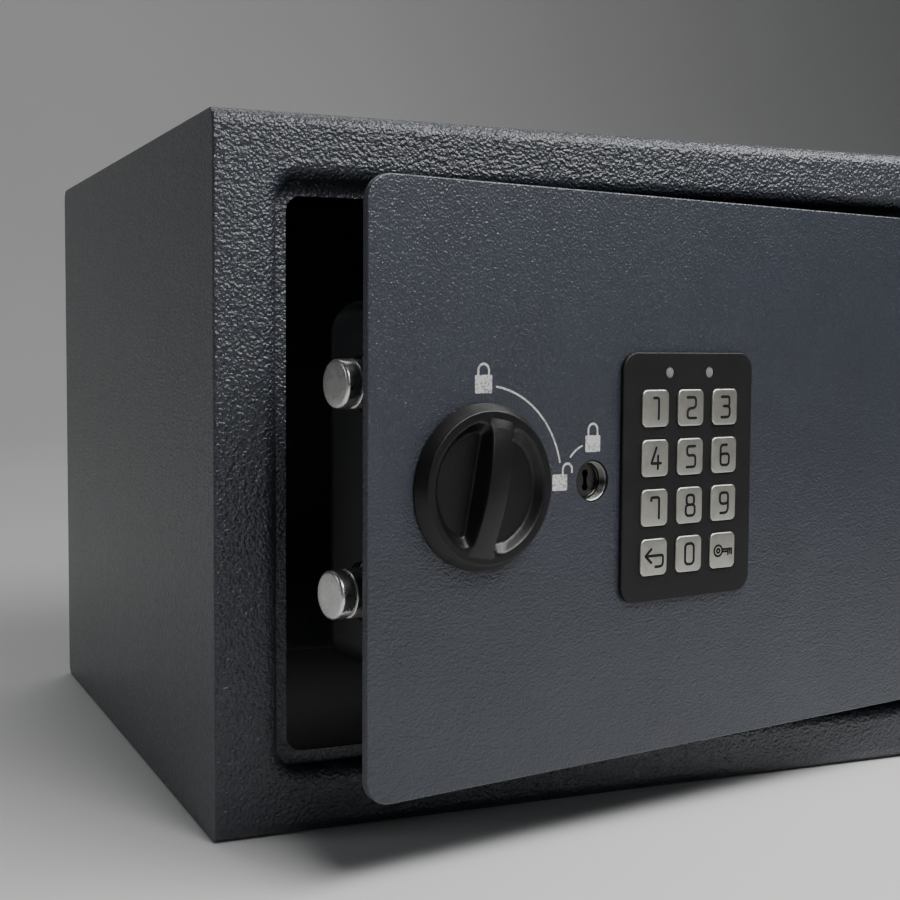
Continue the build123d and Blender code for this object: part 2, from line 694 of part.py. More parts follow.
# Keypad bezel: a raised panel with key openings and a body that fills the opening in the door.
with BuildPart() as keypad_bezel:
    with BuildSketch(door_face(0)):
        with Locations((keypad_offset, 0)):
            RectangleRounded(keypad_width, keypad_height, keypad_corner_radius)
        with Locations(*key_places):
            RectangleRounded(
                key_width + 2 * key_clearance, key_height + 2 * key_clearance,
                key_corner_radius + key_clearance, mode=Mode.SUBTRACT,
            )
        with Locations(*indicator_places):
            Circle(indicator_diameter / 2, mode=Mode.SUBTRACT)
    extrude(amount=keypad_rise)
    bezel_rim = keypad_bezel.faces().filter_by(
        lambda f: abs((f.center() - door_origin).dot(door_inward) + keypad_rise) < 0.01
    )
    fillet(bezel_rim.face().outer_wire().edges(), keypad_rise / 3)
    with BuildSketch(door_face(0)):
        with Locations((keypad_offset, 0)):
            Rectangle(membrane_width + 2 * keypad_body_wall, membrane_height + 2 * keypad_body_wall)
            Rectangle(membrane_width, membrane_height, mode=Mode.SUBTRACT)
    extrude(amount=-keypad_body_depth)
save(keypad_bezel, "keypad_bezel")

# Rubber membrane under the keys.
with BuildPart() as keypad_membrane:
    with BuildSketch(door_face(membrane_setback)):
        with Locations((keypad_offset, 0)):
            Rectangle(membrane_width, membrane_height)
        with Locations(*indicator_places):
            Circle(indicator_diameter / 2 + key_clearance, mode=Mode.SUBTRACT)
    extrude(amount=-membrane_thickness)
save(keypad_membrane, "keypad_membrane")

# Keypad circuit board behind the membrane.
with BuildPart() as keypad_board:
    with BuildSketch(door_face(keypad_board_setback)):
        with Locations((keypad_offset, 0)):
            Rectangle(membrane_width, membrane_height)
    extrude(amount=-board_thickness)
save(keypad_board, "keypad_board")

# Indicator lenses over the two lamps.
with BuildPart() as indicator_lenses:
    with BuildSketch(door_face(keypad_board_setback)):
        with Locations(*indicator_places):
            Circle(indicator_diameter / 2)
    extrude(amount=keypad_board_setback + keypad_rise)
save(indicator_lenses, "indicator_lenses")

# Twelve keys, each a cap with a flange that keeps it behind the bezel.
for row_names, row_height in zip(key_names, key_rows):
    for key_name, column in zip(row_names, key_columns):
        with BuildPart() as key_cap:
            with BuildSketch(door_face(flange_clearance)):
                with Locations((keypad_offset + column, row_height)):
                    RectangleRounded(key_width, key_height, key_corner_radius)
            extrude(amount=flange_clearance + keypad_rise + key_rise)
            key_top = key_cap.faces().sort_by(lambda f: (f.center() - door_origin).dot(door_inward))[0]
            fillet(key_top.edges(), key_rise / 2)
            with BuildSketch(door_face(flange_clearance)):
                with Locations((keypad_offset + column, row_height)):
                    Rectangle(key_width + 2 * key_flange, key_height + 2 * key_flange)
            extrude(amount=-key_flange_thickness)
        save(key_cap, key_name)

# ==== lock case and what it holds =================================================================
tray_width = battery_count * battery_diameter + (battery_count + 1) * battery_gap + 2 * tray_wall
tray_height = battery_length + battery_nub_height + 2 * battery_gap + 2 * tray_wall
tray_back = case_back - case_wall
reset_place = (case_inset + case_width - reset_button_offset, reset_button_height)

# Black moulded case over the lock, open to the door, notched for the bolts.
with BuildPart() as lock_case:
    with BuildSketch(door_face(case_back)):
        with Locations((case_middle, 0)):
            RectangleRounded(case_width, case_height, case_corner_radius)
    extrude(amount=case_depth)
    back_face = lock_case.faces().sort_by(lambda f: (f.center() - door_origin).dot(door_inward))[-1]
    fillet(back_face.edges(), case_corner_radius * 0.6)
    open_face = lock_case.faces().sort_by(lambda f: (f.center() - door_origin).dot(door_inward))[0]
    offset(amount=-case_wall, openings=open_face)
    with BuildSketch(door_edge(case_inset + 2 * case_wall)):
        for row in bolt_rows:
            with Locations((bolt_setback, row)):
                Circle(bush_radius)
            with Locations((bolt_setback / 2, row)):
                Rectangle(bolt_setback, 2 * bush_radius)
    extrude(amount=3 * case_wall, mode=Mode.SUBTRACT)
    with BuildSketch(door_face(case_back + case_wall)):
        with Locations((case_middle, 0)):
            with post_places():
                Circle(screw_diameter / 2)
        with Locations((tray_offset, 0)):
            RectangleRounded(tray_width + 2 * lid_clearance, tray_height + 2 * lid_clearance, case_wall)
        with Locations(reset_place):
            Circle(reset_button_diameter / 2 + reset_button_clearance)
    extrude(amount=3 * case_wall, mode=Mode.SUBTRACT)
save(lock_case, "lock_case")

# Screws that hold the case on its posts.
with BuildPart() as case_screws:
    with BuildSketch(door_face(case_back)):
        with Locations((case_middle, 0)):
            with post_places():
                Circle(screw_diameter / 2)
    extrude(amount=case_wall + screw_length - sheet_thickness)
    with BuildSketch(door_face(case_back)):
        with Locations((case_middle, 0)):
            with post_places():
                Circle(screw_head_diameter / 2)
    extrude(amount=-screw_head_height)
save(case_screws, "case_screws")

# Nuts that hold the chassis on the posts.
with BuildPart() as chassis_nuts:
    with BuildSketch(door_face(chassis_back)):
        with Locations((case_middle, 0)):
            with post_places():
                RegularPolygon(nut_width / 2, 6, major_radius=False)
                Circle(post_tip_diameter / 2, mode=Mode.SUBTRACT)
    extrude(amount=-nut_height)
save(chassis_nuts, "chassis_nuts")

# Battery tray, open at the back, with a slot for each cell.
with BuildPart() as battery_tray:
    with BuildSketch(door_face(tray_setback)):
        with Locations((tray_offset, 0)):
            Rectangle(tray_width, tray_height)
    extrude(amount=tray_setback - tray_back)
    with BuildSketch(door_face(tray_setback + tray_wall)):
        with Locations((tray_offset, 0)):
            Rectangle(tray_width - 2 * tray_wall, tray_height - 2 * tray_wall)
    extrude(amount=tray_setback + tray_wall - tray_back, mode=Mode.SUBTRACT)
save(battery_tray, "battery_tray")

# Four round cells side by side.
cell_pitch = battery_diameter + battery_gap
cell_setback = tray_setback + tray_wall + battery_diameter / 2
with BuildPart() as batteries:
    for cell in range(battery_count):
        cell_offset = tray_offset + (cell - (battery_count - 1) / 2) * cell_pitch
        cell_up = 1 if cell % 2 == 0 else -1
        cell_foot = -cell_up * (battery_length + battery_nub_height) / 2
        cell_plane = door_level(cell_foot, cell_offset, cell_setback)
        with BuildSketch(cell_plane):
            Circle(battery_diameter / 2)
        extrude(amount=cell_up * battery_length)
        with BuildSketch(cell_plane):
            Circle(battery_nub_diameter / 2)
        extrude(amount=cell_up * (battery_length + battery_nub_height))
save(batteries, "batteries")

# Lid over the cells, flush with the case's back.
with BuildPart() as battery_lid:
    with BuildSketch(door_face(case_back)):
        with Locations((tray_offset, 0)):
            RectangleRounded(tray_width, tray_height, case_wall - lid_clearance)
    extrude(amount=case_wall)
save(battery_lid, "battery_lid")

# Main circuit board on four posts.
board_post_span_x = main_board_width - 2 * board_post_diameter
board_post_span_y = main_board_height - 2 * board_post_diameter
with BuildPart() as main_board:
    with BuildSketch(door_face(main_board_setback)):
        with Locations((keypad_offset, 0)):
            Rectangle(main_board_width, main_board_height)
    extrude(amount=-board_thickness)
save(main_board, "main_board")

with BuildPart() as board_posts:
    with BuildSketch(door_face(chassis_back)):
        with Locations((keypad_offset, 0)):
            with GridLocations(board_post_span_x, board_post_span_y, 2, 2):
                Circle(board_post_diameter / 2)
    extrude(amount=chassis_back - main_board_setback)
save(board_posts, "board_posts")

# ---- solenoid ------------------------------------------------------------------------------------
tongue_middle = tongue_back - tongue_thickness / 2
solenoid_top = solenoid_bottom + solenoid_height
solenoid_front = tongue_middle - solenoid_depth / 2
plunger_tip = tongue_half_height + plunger_tip_gap
plunger_length = solenoid_top - plunger_tip - plunger_travel - solenoid_frame_thickness
# Bent steel frame of the solenoid, carried on a foot from the chassis.
with BuildPart() as solenoid_frame:
    for level in (solenoid_bottom, solenoid_top - solenoid_frame_thickness):
        with BuildSketch(door_level(level, solenoid_offset, tongue_middle)):
            Rectangle(solenoid_width, solenoid_depth)
            Circle(plunger_diameter / 2 + plunger_clearance, mode=Mode.SUBTRACT)
        extrude(amount=solenoid_frame_thickness)
    with BuildSketch(door_face(solenoid_front)):
        with Locations((solenoid_offset, (solenoid_bottom + solenoid_top) / 2)):
            Rectangle(solenoid_width, solenoid_height)
    extrude(amount=-solenoid_frame_thickness)
    with BuildSketch(door_face(chassis_back)):
        with Locations((solenoid_offset, (solenoid_bottom + solenoid_top) / 2)):
            Rectangle(solenoid_width / 2, solenoid_height / 2)
    extrude(amount=chassis_back - solenoid_front)
save(solenoid_frame, "solenoid_frame")

# Coil on its bobbin.
with BuildPart() as solenoid_coil:
    coil_plane = door_level(solenoid_bottom + solenoid_frame_thickness, solenoid_offset, tongue_middle)
    with BuildSketch(coil_plane):
        Circle(coil_diameter / 2)
        Circle(plunger_diameter / 2 + plunger_clearance, mode=Mode.SUBTRACT)
    extrude(amount=solenoid_height - 2 * solenoid_frame_thickness)
save(solenoid_coil, "solenoid_coil")

# Plunger that drops into the carriage's notch.
with BuildPart() as solenoid_plunger:
    with BuildSketch(door_level(plunger_tip, solenoid_offset, tongue_middle)):
        Circle(plunger_diameter / 2)
    extrude(amount=plunger_length)
save(solenoid_plunger, "solenoid_plunger")

# Code reset button in the case's back.
with BuildPart() as reset_button:
    with BuildSketch(door_face(case_back + reset_button_rise)):
        with Locations(reset_place):
            Circle(reset_button_diameter / 2)
    extrude(amount=reset_button_length)
    with BuildSketch(door_face(case_back - case_wall - reset_button_clearance)):
        with Locations(reset_place):
            Circle(reset_button_diameter / 2 + case_wall / 2)
    extrude(amount=case_wall / 2)
save(reset_button, "reset_button")
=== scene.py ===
"""Looks of the in-room safe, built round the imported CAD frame. Metres, row frame."""

import json
import math
import random

import bmesh
import bpy
from mathutils import Matrix, Vector, noise


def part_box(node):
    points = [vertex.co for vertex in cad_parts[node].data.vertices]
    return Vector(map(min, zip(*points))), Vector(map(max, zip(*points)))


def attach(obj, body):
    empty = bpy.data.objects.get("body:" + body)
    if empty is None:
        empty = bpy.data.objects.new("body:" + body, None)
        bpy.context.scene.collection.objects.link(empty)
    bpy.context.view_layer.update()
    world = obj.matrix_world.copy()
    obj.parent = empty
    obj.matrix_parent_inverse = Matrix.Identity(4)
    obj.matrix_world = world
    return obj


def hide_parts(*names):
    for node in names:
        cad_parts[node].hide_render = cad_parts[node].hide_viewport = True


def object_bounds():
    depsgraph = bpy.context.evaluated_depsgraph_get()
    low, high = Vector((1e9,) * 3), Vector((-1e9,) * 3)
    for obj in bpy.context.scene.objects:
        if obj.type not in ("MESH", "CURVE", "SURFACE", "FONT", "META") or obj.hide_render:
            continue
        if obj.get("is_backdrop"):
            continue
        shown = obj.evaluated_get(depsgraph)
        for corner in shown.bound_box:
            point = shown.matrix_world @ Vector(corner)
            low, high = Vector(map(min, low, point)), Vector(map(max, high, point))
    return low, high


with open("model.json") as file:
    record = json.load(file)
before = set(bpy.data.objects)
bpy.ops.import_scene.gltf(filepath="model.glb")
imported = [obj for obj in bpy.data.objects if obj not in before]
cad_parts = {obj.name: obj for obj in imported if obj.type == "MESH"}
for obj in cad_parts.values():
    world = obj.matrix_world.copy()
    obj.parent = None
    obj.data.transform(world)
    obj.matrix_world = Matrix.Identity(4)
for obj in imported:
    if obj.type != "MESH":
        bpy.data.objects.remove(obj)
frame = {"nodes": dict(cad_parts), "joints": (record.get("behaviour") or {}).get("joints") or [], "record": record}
cad_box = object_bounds()
random.seed(7)

MM = 0.001
FULL_TURN = 2 * math.pi
QUARTER = math.pi / 2
UP = Vector((0, 0, 1))
NODES = frame["nodes"]
JOINTS = {j["name"]: j for j in frame["joints"]}

# ---- door frame of reference, from the joints ------------------------------------------------------
RIGHT = Vector(JOINTS["bolt_slide"]["axis"])      # along the door, latch edge to hinge
INWARD = Vector(JOINTS["knob_turn"]["axis"])      # through the door, into the safe
OUT = -INWARD
KNOB = Vector(JOINTS["knob_turn"]["pos_m"])       # on the door's face
LOCK = Vector(JOINTS["key_turn"]["pos_m"])        # on the door's face


def reach(node, axis):
    """Least and greatest distance of a CAD node's vertices along an axis."""
    along = [v.co.dot(axis) for v in NODES[node].data.vertices]
    return min(along), max(along)


def on_face(spot, right=0.0, up=0.0, out=0.0):
    """A point offset in millimetres from a point on the door's face."""
    return spot + (RIGHT * right + UP * up + OUT * out) * MM


# ---- meshes ----------------------------------------------------------------------------------------
def finish_mesh(name, bm, body, smooth_angle=35.0):
    """Turn a bmesh into a smooth-shaded object that rides on a CAD body."""
    bmesh.ops.remove_doubles(bm, verts=bm.verts, dist=1e-7)
    bmesh.ops.recalc_face_normals(bm, faces=bm.faces)
    mesh = bpy.data.meshes.new(name)
    bm.to_mesh(mesh)
    bm.free()
    for face in mesh.polygons:
        face.use_smooth = True
    mesh.set_sharp_from_angle(angle=math.radians(smooth_angle))
    piece = bpy.data.objects.new(name, mesh)
    bpy.context.scene.collection.objects.link(piece)
    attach(piece, body)
    return piece


def loft_rings(bm, rings, close_start=True, close_end=True):
    """Skin a list of rings of points, each the same length, and close its ends."""
    loops = [[bm.verts.new(p) for p in ring] for ring in rings]
    count = len(loops[0])
    for low, high in zip(loops, loops[1:]):
        for i in range(count):
            j = (i + 1) % count
            bm.faces.new((low[i], low[j], high[j], high[i]))
    for wanted, loop in ((close_start, loops[0]), (close_end, loops[-1])):
        if wanted:
            bm.faces.new(loop)


def lathe(bm, foot, axis, profile, segments=96, closed=True):
    """Turn a profile of (distance along the axis, radius), in millimetres, about the axis."""
    side = axis.orthogonal().normalized()
    other = axis.cross(side)
    rings = []
    for along, radius in profile:
        middle_point = foot + axis * along * MM
        rings.append([
            middle_point + (side * math.cos(a) + other * math.sin(a)) * radius * MM
            for a in (FULL_TURN * i / segments for i in range(segments))
        ])
    loft_rings(bm, rings, closed, closed)


def height_disc(bm, foot, right, up, out, wall, radius, rings, segments, height):
    """A disc whose face stands height(x, y) above its foot, inside a turned wall profile."""
    def ring(r, h=None):
        points = []
        for i in range(segments):
            a = FULL_TURN * i / segments
            x, y = r * math.cos(a), r * math.sin(a)
            rise = height(x, y) if h is None else h
            points.append(foot + (right * x + up * y + out * rise) * MM)
        return points
    stack = [ring(r, h) for h, r in wall]
    stack += [ring(radius * (1 - k / rings)) for k in range(rings)]
    loft_rings(bm, stack, True, False)
    bm.verts.ensure_lookup_table()
    inner = bm.verts[len(bm.verts) - segments:]
    centre = bm.verts.new(foot + out * height(0.0, 0.0) * MM)
    for i in range(segments):
        bm.faces.new((inner[i], inner[(i + 1) % segments], centre))


def rounded_outline(width, height, corner, steps=8):
    """Points of a rounded rectangle about the origin, anticlockwise."""
    points = []
    for quarter, (sx, sy) in enumerate(((1, 1), (-1, 1), (-1, -1), (1, -1))):
        cx, cy = sx * (width / 2 - corner), sy * (height / 2 - corner)
        for k in range(steps + 1):
            a = QUARTER * (quarter + k / steps)
            points.append((cx + corner * math.cos(a), cy + corner * math.sin(a)))
    return points


PILLOW_ROUND_STEPS = 5
PILLOW_FACE_RINGS = 8
RIBBON_SIDES = 10
RIBBON_END_ANGLES = (28, 55, 80)


def pillow(bm, foot, right, up, out, size, corner, base, top, round_off, crown):
    """A rounded-rectangle cap with filleted upper edges and a slightly crowned face."""
    width, height = size
    rings = []

    def add(inset, rise, scale=1.0):
        outline = rounded_outline(width - 2 * inset, height - 2 * inset, max(corner - inset, 0.05))
        rings.append([foot + (right * x * scale + up * y * scale + out * rise) * MM for x, y in outline])
    add(0, base)
    for k in range(PILLOW_ROUND_STEPS + 1):
        a = QUARTER * k / PILLOW_ROUND_STEPS
        add(round_off * (1 - math.cos(a)), top - round_off * (1 - math.sin(a)))
    for k in range(1, PILLOW_FACE_RINGS):
        s = 1 - k / PILLOW_FACE_RINGS
        add(round_off, top + crown * (1 - s * s), s)
    loft_rings(bm, rings)


def sweep(bm, points, width, thick, place, closed=False):
    """A low rounded ribbon along points (x, y), in millimetres. place(x, y, rise) gives a 3-D point."""
    half = width / 2
    turns = (FULL_TURN * k / RIBBON_SIDES for k in range(RIBBON_SIDES))
    section = [(math.cos(a) * half, math.sin(a) * thick) for a in turns]
    count = len(points)

    def frame_at(i):
        if closed:
            before, after = points[i - 1], points[(i + 1) % count]
        else:
            before, after = points[max(i - 1, 0)], points[min(i + 1, count - 1)]
        dx, dy = after[0] - before[0], after[1] - before[1]
        length = math.hypot(dx, dy) or 1.0
        return dx / length, dy / length

    def ring(x, y, dx, dy, shrink=1.0):
        return [place(x - dy * s * shrink, y + dx * s * shrink, h * shrink) for s, h in section]
    rings = []
    if not closed:
        dx, dy = frame_at(0)
        for a in reversed(RIBBON_END_ANGLES):
            t = math.radians(a)
            x, y = points[0]
            rings.append(ring(x - dx * half * math.sin(t), y - dy * half * math.sin(t), dx, dy, math.cos(t)))
    for i, (x, y) in enumerate(points):
        rings.append(ring(x, y, *frame_at(i)))
    if closed:
        loops = [[bm.verts.new(p) for p in r] for r in rings]
        for low, high in zip(loops, loops[1:] + loops[:1]):
            for i in range(len(section)):
                j = (i + 1) % len(section)
                bm.faces.new((low[i], low[j], high[j], high[i]))
        return
    dx, dy = frame_at(count - 1)
    for a in RIBBON_END_ANGLES:
        t = math.radians(a)
        x, y = points[-1]
        rings.append(ring(x + dx * half * math.sin(t), y + dy * half * math.sin(t), dx, dy, math.cos(t)))
    loft_rings(bm, rings)


def arc(cx, cy, rx, ry, start, end, steps=14):
    """Points of an elliptic arc, angles in degrees."""
    angles = [math.radians(start + (end - start) * k / steps) for k in range(steps + 1)]
    return [(cx + rx * math.cos(a), cy + ry * math.sin(a)) for a in angles]


def shifted(points, rise):
    """The same points moved up by rise."""
    return [(x, y + rise) for x, y in points]


def fine(points, step, closed):
    """The same path with no gap longer than step."""
    path = []
    ends = points[1:] + (points[:1] if closed else [])
    for (x0, y0), (x1, y1) in zip(points, ends):
        count = max(1, math.ceil(math.hypot(x1 - x0, y1 - y0) / step))
        path += [(x0 + (x1 - x0) * k / count, y0 + (y1 - y0) * k / count) for k in range(count)]
    return path if closed else path + [points[-1]]


def rounded_path(points, corner, steps=5):
    """A polyline with its corners rounded."""
    path = [points[0]]
    for before, here, after in zip(points, points[1:], points[2:]):
        a, b, c = Vector(before), Vector(here), Vector(after)
        cut = min(corner, (a - b).length / 2, (c - b).length / 2)
        p, q = b + (a - b).normalized() * cut, b + (c - b).normalized() * cut
        for k in range(steps + 1):
            t = k / steps
            spot = p * (1 - t) ** 2 + b * 2 * t * (1 - t) + q * t * t
            path.append((spot.x, spot.y))
    path.append(points[-1])
    return path


# ---- materials -------------------------------------------------------------------------------------
class Material:
    """A node material built on one Principled shader, with object-space patterns in metres."""

    def __init__(self, name, colour, roughness, metallic=0.0, **sockets):
        self.material = bpy.data.materials.new(name)
        self.material.use_nodes = True
        self.nodes = self.material.node_tree.nodes
        self.links = self.material.node_tree.links
        self.shader = self.nodes["Principled BSDF"]
        self.shader.inputs["Base Color"].default_value = (*colour, 1)
        self.shader.inputs["Roughness"].default_value = roughness
        self.shader.inputs["Metallic"].default_value = metallic
        for socket, value in sockets.items():
            self.shader.inputs[socket.replace("_", " ")].default_value = value
        self.coordinates = self.nodes.new("ShaderNodeTexCoord").outputs["Object"]
        self.normal = None

    def noise(self, size, detail=2.0, roughness=0.5, stretch=(1, 1, 1), distortion=0.0):
        """Noise whose features are about size metres across."""
        vector = self.coordinates
        if stretch != (1, 1, 1):
            mapping = self.nodes.new("ShaderNodeMapping")
            mapping.inputs["Scale"].default_value = stretch
            self.links.new(vector, mapping.inputs["Vector"])
            vector = mapping.outputs["Vector"]
        node = self.nodes.new("ShaderNodeTexNoise")
        node.inputs["Scale"].default_value = 1 / size
        node.inputs["Detail"].default_value = detail
        node.inputs["Roughness"].default_value = roughness
        node.inputs["Distortion"].default_value = distortion
        self.links.new(vector, node.inputs["Vector"])
        return node.outputs["Fac"]

    def ramp(self, value, *stops):
        """Colour ramp with (position, colour or grey) stops."""
        node = self.nodes.new("ShaderNodeValToRGB")
        elements = node.color_ramp.elements
        while len(elements) < len(stops):
            elements.new(0.5)
        for element, (position, colour) in zip(elements, stops):
            element.position = position
            element.color = (*colour, 1) if isinstance(colour, tuple) else (colour, colour, colour, 1)
        self.links.new(value, node.inputs["Fac"])
        return node.outputs["Color"]

    def blend(self, value, low, high):
        """A number that runs from low to high as value goes from 0 to 1."""
        node = self.nodes.new("ShaderNodeMapRange")
        node.inputs["To Min"].default_value = low
        node.inputs["To Max"].default_value = high
        self.links.new(value, node.inputs["Value"])
        return node.outputs["Result"]

    def add(self, first, second, weight=1.0):
        node = self.nodes.new("ShaderNodeMath")
        node.operation = "MULTIPLY_ADD"
        node.inputs[1].default_value = weight
        self.links.new(second, node.inputs[0])
        self.links.new(first, node.inputs[2])
        return node.outputs["Value"]

    def colour(self, output):
        self.links.new(output, self.shader.inputs["Base Color"])

    def rough(self, output):
        self.links.new(output, self.shader.inputs["Roughness"])

    def bump(self, output, depth, strength=1.0):
        """Bump of depth metres, stacked on any bump already there."""
        node = self.nodes.new("ShaderNodeBump")
        node.inputs["Strength"].default_value = strength
        node.inputs["Distance"].default_value = depth
        self.links.new(output, node.inputs["Height"])
        if self.normal is not None:
            self.links.new(self.normal, node.inputs["Normal"])
        self.normal = node.outputs["Normal"]
        self.links.new(self.normal, self.shader.inputs["Normal"])


def powder_coat(name, dark, light, bump_size, bump_depth):
    """Hammered anthracite powder coat: crisp bumps bump_size across under a satin film."""
    m = Material(name, dark, 0.5, Coat_Weight=0.55, Coat_Roughness=0.16)
    m.colour(m.ramp(m.noise(0.03, 3), (0.3, dark), (0.7, light)))
    m.rough(m.blend(m.noise(0.0022, 2), 0.42, 0.58))
    bumps = m.add(m.noise(bump_size, 1.6, 0.45), m.noise(bump_size * 2.4, 1.0), 0.35)
    m.bump(bumps, bump_depth)
    m.links.new(m.normal, m.shader.inputs["Coat Normal"])
    return m.material


def satin_plastic(name, colour, roughness=0.42, grain=0.00022, depth=0.00002, specular=0.5):
    """Spark-eroded moulded plastic."""
    m = Material(name, colour, roughness)
    m.shader.inputs["Specular IOR Level"].default_value = specular
    lift = tuple(c * 1.35 + 0.002 for c in colour)
    m.colour(m.ramp(m.noise(0.012, 4), (0.3, colour), (0.75, lift)))
    m.rough(m.blend(m.noise(0.004, 3), roughness - 0.05, roughness + 0.08))
    m.bump(m.noise(grain, 1.0), depth)
    return m.material


def metal(name, colour, roughness, grain=(1, 1, 1), size=0.0004, depth=0.000006, spread=0.1):
    """Machined or plated metal with fine directional marks."""
    m = Material(name, colour, roughness, 1.0)
    shade = tuple(c * 0.82 for c in colour)
    m.colour(m.ramp(m.noise(0.004, 5, 0.6), (0.3, shade), (0.7, colour)))
    m.rough(m.blend(m.noise(size * 4, 4, 0.6, grain), roughness - spread / 2, roughness + spread))
    m.bump(m.noise(size, 2, 0.5, grain), depth)
    return m.material


def silver_print(name):
    """Silver ink on the textured paint, thin on the low spots."""
    m = Material(name, (0.5, 0.5, 0.49), 0.45, 0.35)
    m.colour(m.ramp(m.noise(0.0009, 3, 0.6), (0.36, (0.22, 0.225, 0.23)), (0.5, (0.66, 0.66, 0.65))))
    m.bump(m.noise(0.0012, 1.5), 0.00025)
    return m.material


def felt(name):
    """Needle felt: short tangled fibres, dark with a few lighter ones."""
    m = Material(name, (0.012, 0.012, 0.014), 0.95, Sheen_Weight=0.12, Sheen_Roughness=0.6)
    m.colour(m.ramp(m.noise(0.0011, 6, 0.75, distortion=1.5),
                    (0.35, (0.004, 0.004, 0.005)), (0.72, (0.022, 0.022, 0.024))))
    m.bump(m.noise(0.0007, 5, 0.7, distortion=2.0), 0.0006)
    m.bump(m.noise(0.018, 2), 0.0012)
    return m.material


def circuit_board(name):
    m = Material(name, (0.01, 0.09, 0.035), 0.3)
    m.colour(m.ramp(m.noise(0.003, 1, 0.5, (1, 1, 0.2)),
                    (0.48, (0.008, 0.075, 0.028)), (0.52, (0.02, 0.16, 0.06))))
    m.bump(m.noise(0.0025, 1), 0.00005)
    return m.material


def windings(name):
    m = Material(name, (0.6, 0.24, 0.1), 0.3, 0.9)
    wave = m.nodes.new("ShaderNodeTexWave")
    wave.bands_direction = "Z"
    wave.inputs["Scale"].default_value = 900
    m.links.new(m.coordinates, wave.inputs["Vector"])
    # The darker bands are painted shade in the grooves between wire turns; the same wave also drives the bump.
    m.colour(m.ramp(wave.outputs["Fac"], (0.2, (0.25, 0.09, 0.03)), (0.7, (0.7, 0.3, 0.13))))
    m.bump(wave.outputs["Fac"], 0.00015)
    return m.material


def cell_sleeve(name):
    m = Material(name, (0.03, 0.035, 0.045), 0.25, 0.2)
    low, high = reach("batteries", UP)
    split = m.nodes.new("ShaderNodeSeparateXYZ")
    m.links.new(m.coordinates, split.inputs["Vector"])
    band = m.nodes.new("ShaderNodeMapRange")
    band.inputs["From Min"].default_value = low
    band.inputs["From Max"].default_value = high
    m.links.new(split.outputs["Z"], band.inputs["Value"])
    m.colour(m.ramp(band.outputs["Result"], (0.05, (0.6, 0.6, 0.6)), (0.07, (0.03, 0.035, 0.05)),
                    (0.7, (0.03, 0.035, 0.05)), (0.72, (0.45, 0.22, 0.06)), (0.93, (0.45, 0.22, 0.06)),
                    (0.95, (0.6, 0.6, 0.6))))
    m.rough(m.blend(m.noise(0.003, 2), 0.2, 0.3))
    return m.material


LOOKS = {
    "cabinet_paint": powder_coat("cabinet_paint", (0.0150, 0.0182, 0.0262), (0.0195, 0.0234, 0.033),
                                 0.0011, 0.0009),
    "door_paint": powder_coat("door_paint", (0.0165, 0.0200, 0.0295), (0.0205, 0.0248, 0.0365),
                              0.00085, 0.0004),
    "bolt_steel": metal("bolt_steel", (0.78, 0.77, 0.75), 0.26, size=0.0005, depth=0.000004),
    # The lock's plated metal gets a dark base colour as a painted dark reflection: it stands in for the dim
    # surroundings the plating mirrors.
    "lock_chrome": metal("lock_chrome", (0.17, 0.167, 0.16), 0.2),
    "plated_steel": metal("plated_steel", (0.5, 0.51, 0.53), 0.35, (1, 1, 6)),
    "knob_plastic": satin_plastic("knob_plastic", (0.0026, 0.0026, 0.003), 0.36, 0.0005, 0.00006, 0.4),
    "keypad_plastic": satin_plastic("keypad_plastic", (0.0035, 0.0035, 0.004), 0.5, 0.0004, 0.00003, 0.35),
    "case_plastic": satin_plastic("case_plastic", (0.004, 0.004, 0.0045), 0.36, specular=0.4),
    "key_silver": metal("key_silver", (0.56, 0.55, 0.50), 0.4, size=0.0005, depth=0.00003),
    "lens_grey": satin_plastic("lens_grey", (0.16, 0.165, 0.17), 0.3),
    "membrane_rubber": satin_plastic("membrane_rubber", (0.05, 0.05, 0.055), 0.8),
    "board_green": circuit_board("board_green"),
    "white_nylon": satin_plastic("white_nylon", (0.62, 0.6, 0.55), 0.45),
    "coil_copper": windings("coil_copper"),
    "cell_wrap": cell_sleeve("cell_wrap"),
    "red_plastic": satin_plastic("red_plastic", (0.42, 0.02, 0.015), 0.35),
    "mat_felt": felt("mat_felt"),
}
INK = satin_plastic("legend_ink", (0.004, 0.004, 0.0045), 0.6, specular=0.25)
PRINT = silver_print("door_print")

for row in frame["record"]["subparts"]:
    node = NODES[row["node"]]
    node.data.materials.clear()
    node.data.materials.append(LOOKS[row["material_slot"]])


def dress(piece, look, slot_name, *stands_for):
    """Give a piece its material, and hide the CAD nodes it stands for."""
    piece.data.materials.append(look)
    if stands_for:
        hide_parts(*stands_for)
    return piece


# ---- knob ------------------------------------------------------------------------------------------
KNOB_GAP = 0.4
KNOB_BASE_R = 27.5
KNOB_RIM_R = 25.1
KNOB_RIM_H = 4.2
KNOB_POCKET_R = 22.6
KNOB_FLOOR = 1.2
KNOB_WALL = 3.6
KNOB_ROUND = 0.6
GRIP_HALF = 3.7
GRIP_SLOPE = 2.0
GRIP_CROWN = 0.3
POCKET_CORNER = 6.0
GRIP_CREST = 8.2
# how far the grip bar leans from upright where it stands, from the knob's travel
GRIP_LEAN = math.radians(-JOINTS["knob_turn"]["range_deg"][0])


def ease(t):
    """0 to 1 with rounded ends and a straight middle."""
    t = min(max(t, 0.0), 1.0)
    e = 0.3
    slope = 1 / (1 - e)
    if t < e:
        return slope * t * t / (2 * e)
    if t > 1 - e:
        return 1 - slope * (1 - t) ** 2 / (2 * e)
    return slope * (t - e / 2)


def soft_max(a, b, k):
    """Greater of two heights with a fillet of about k where they meet."""
    h = max(k - abs(a - b), 0.0) / k
    return max(a, b) + h * h * k / 4


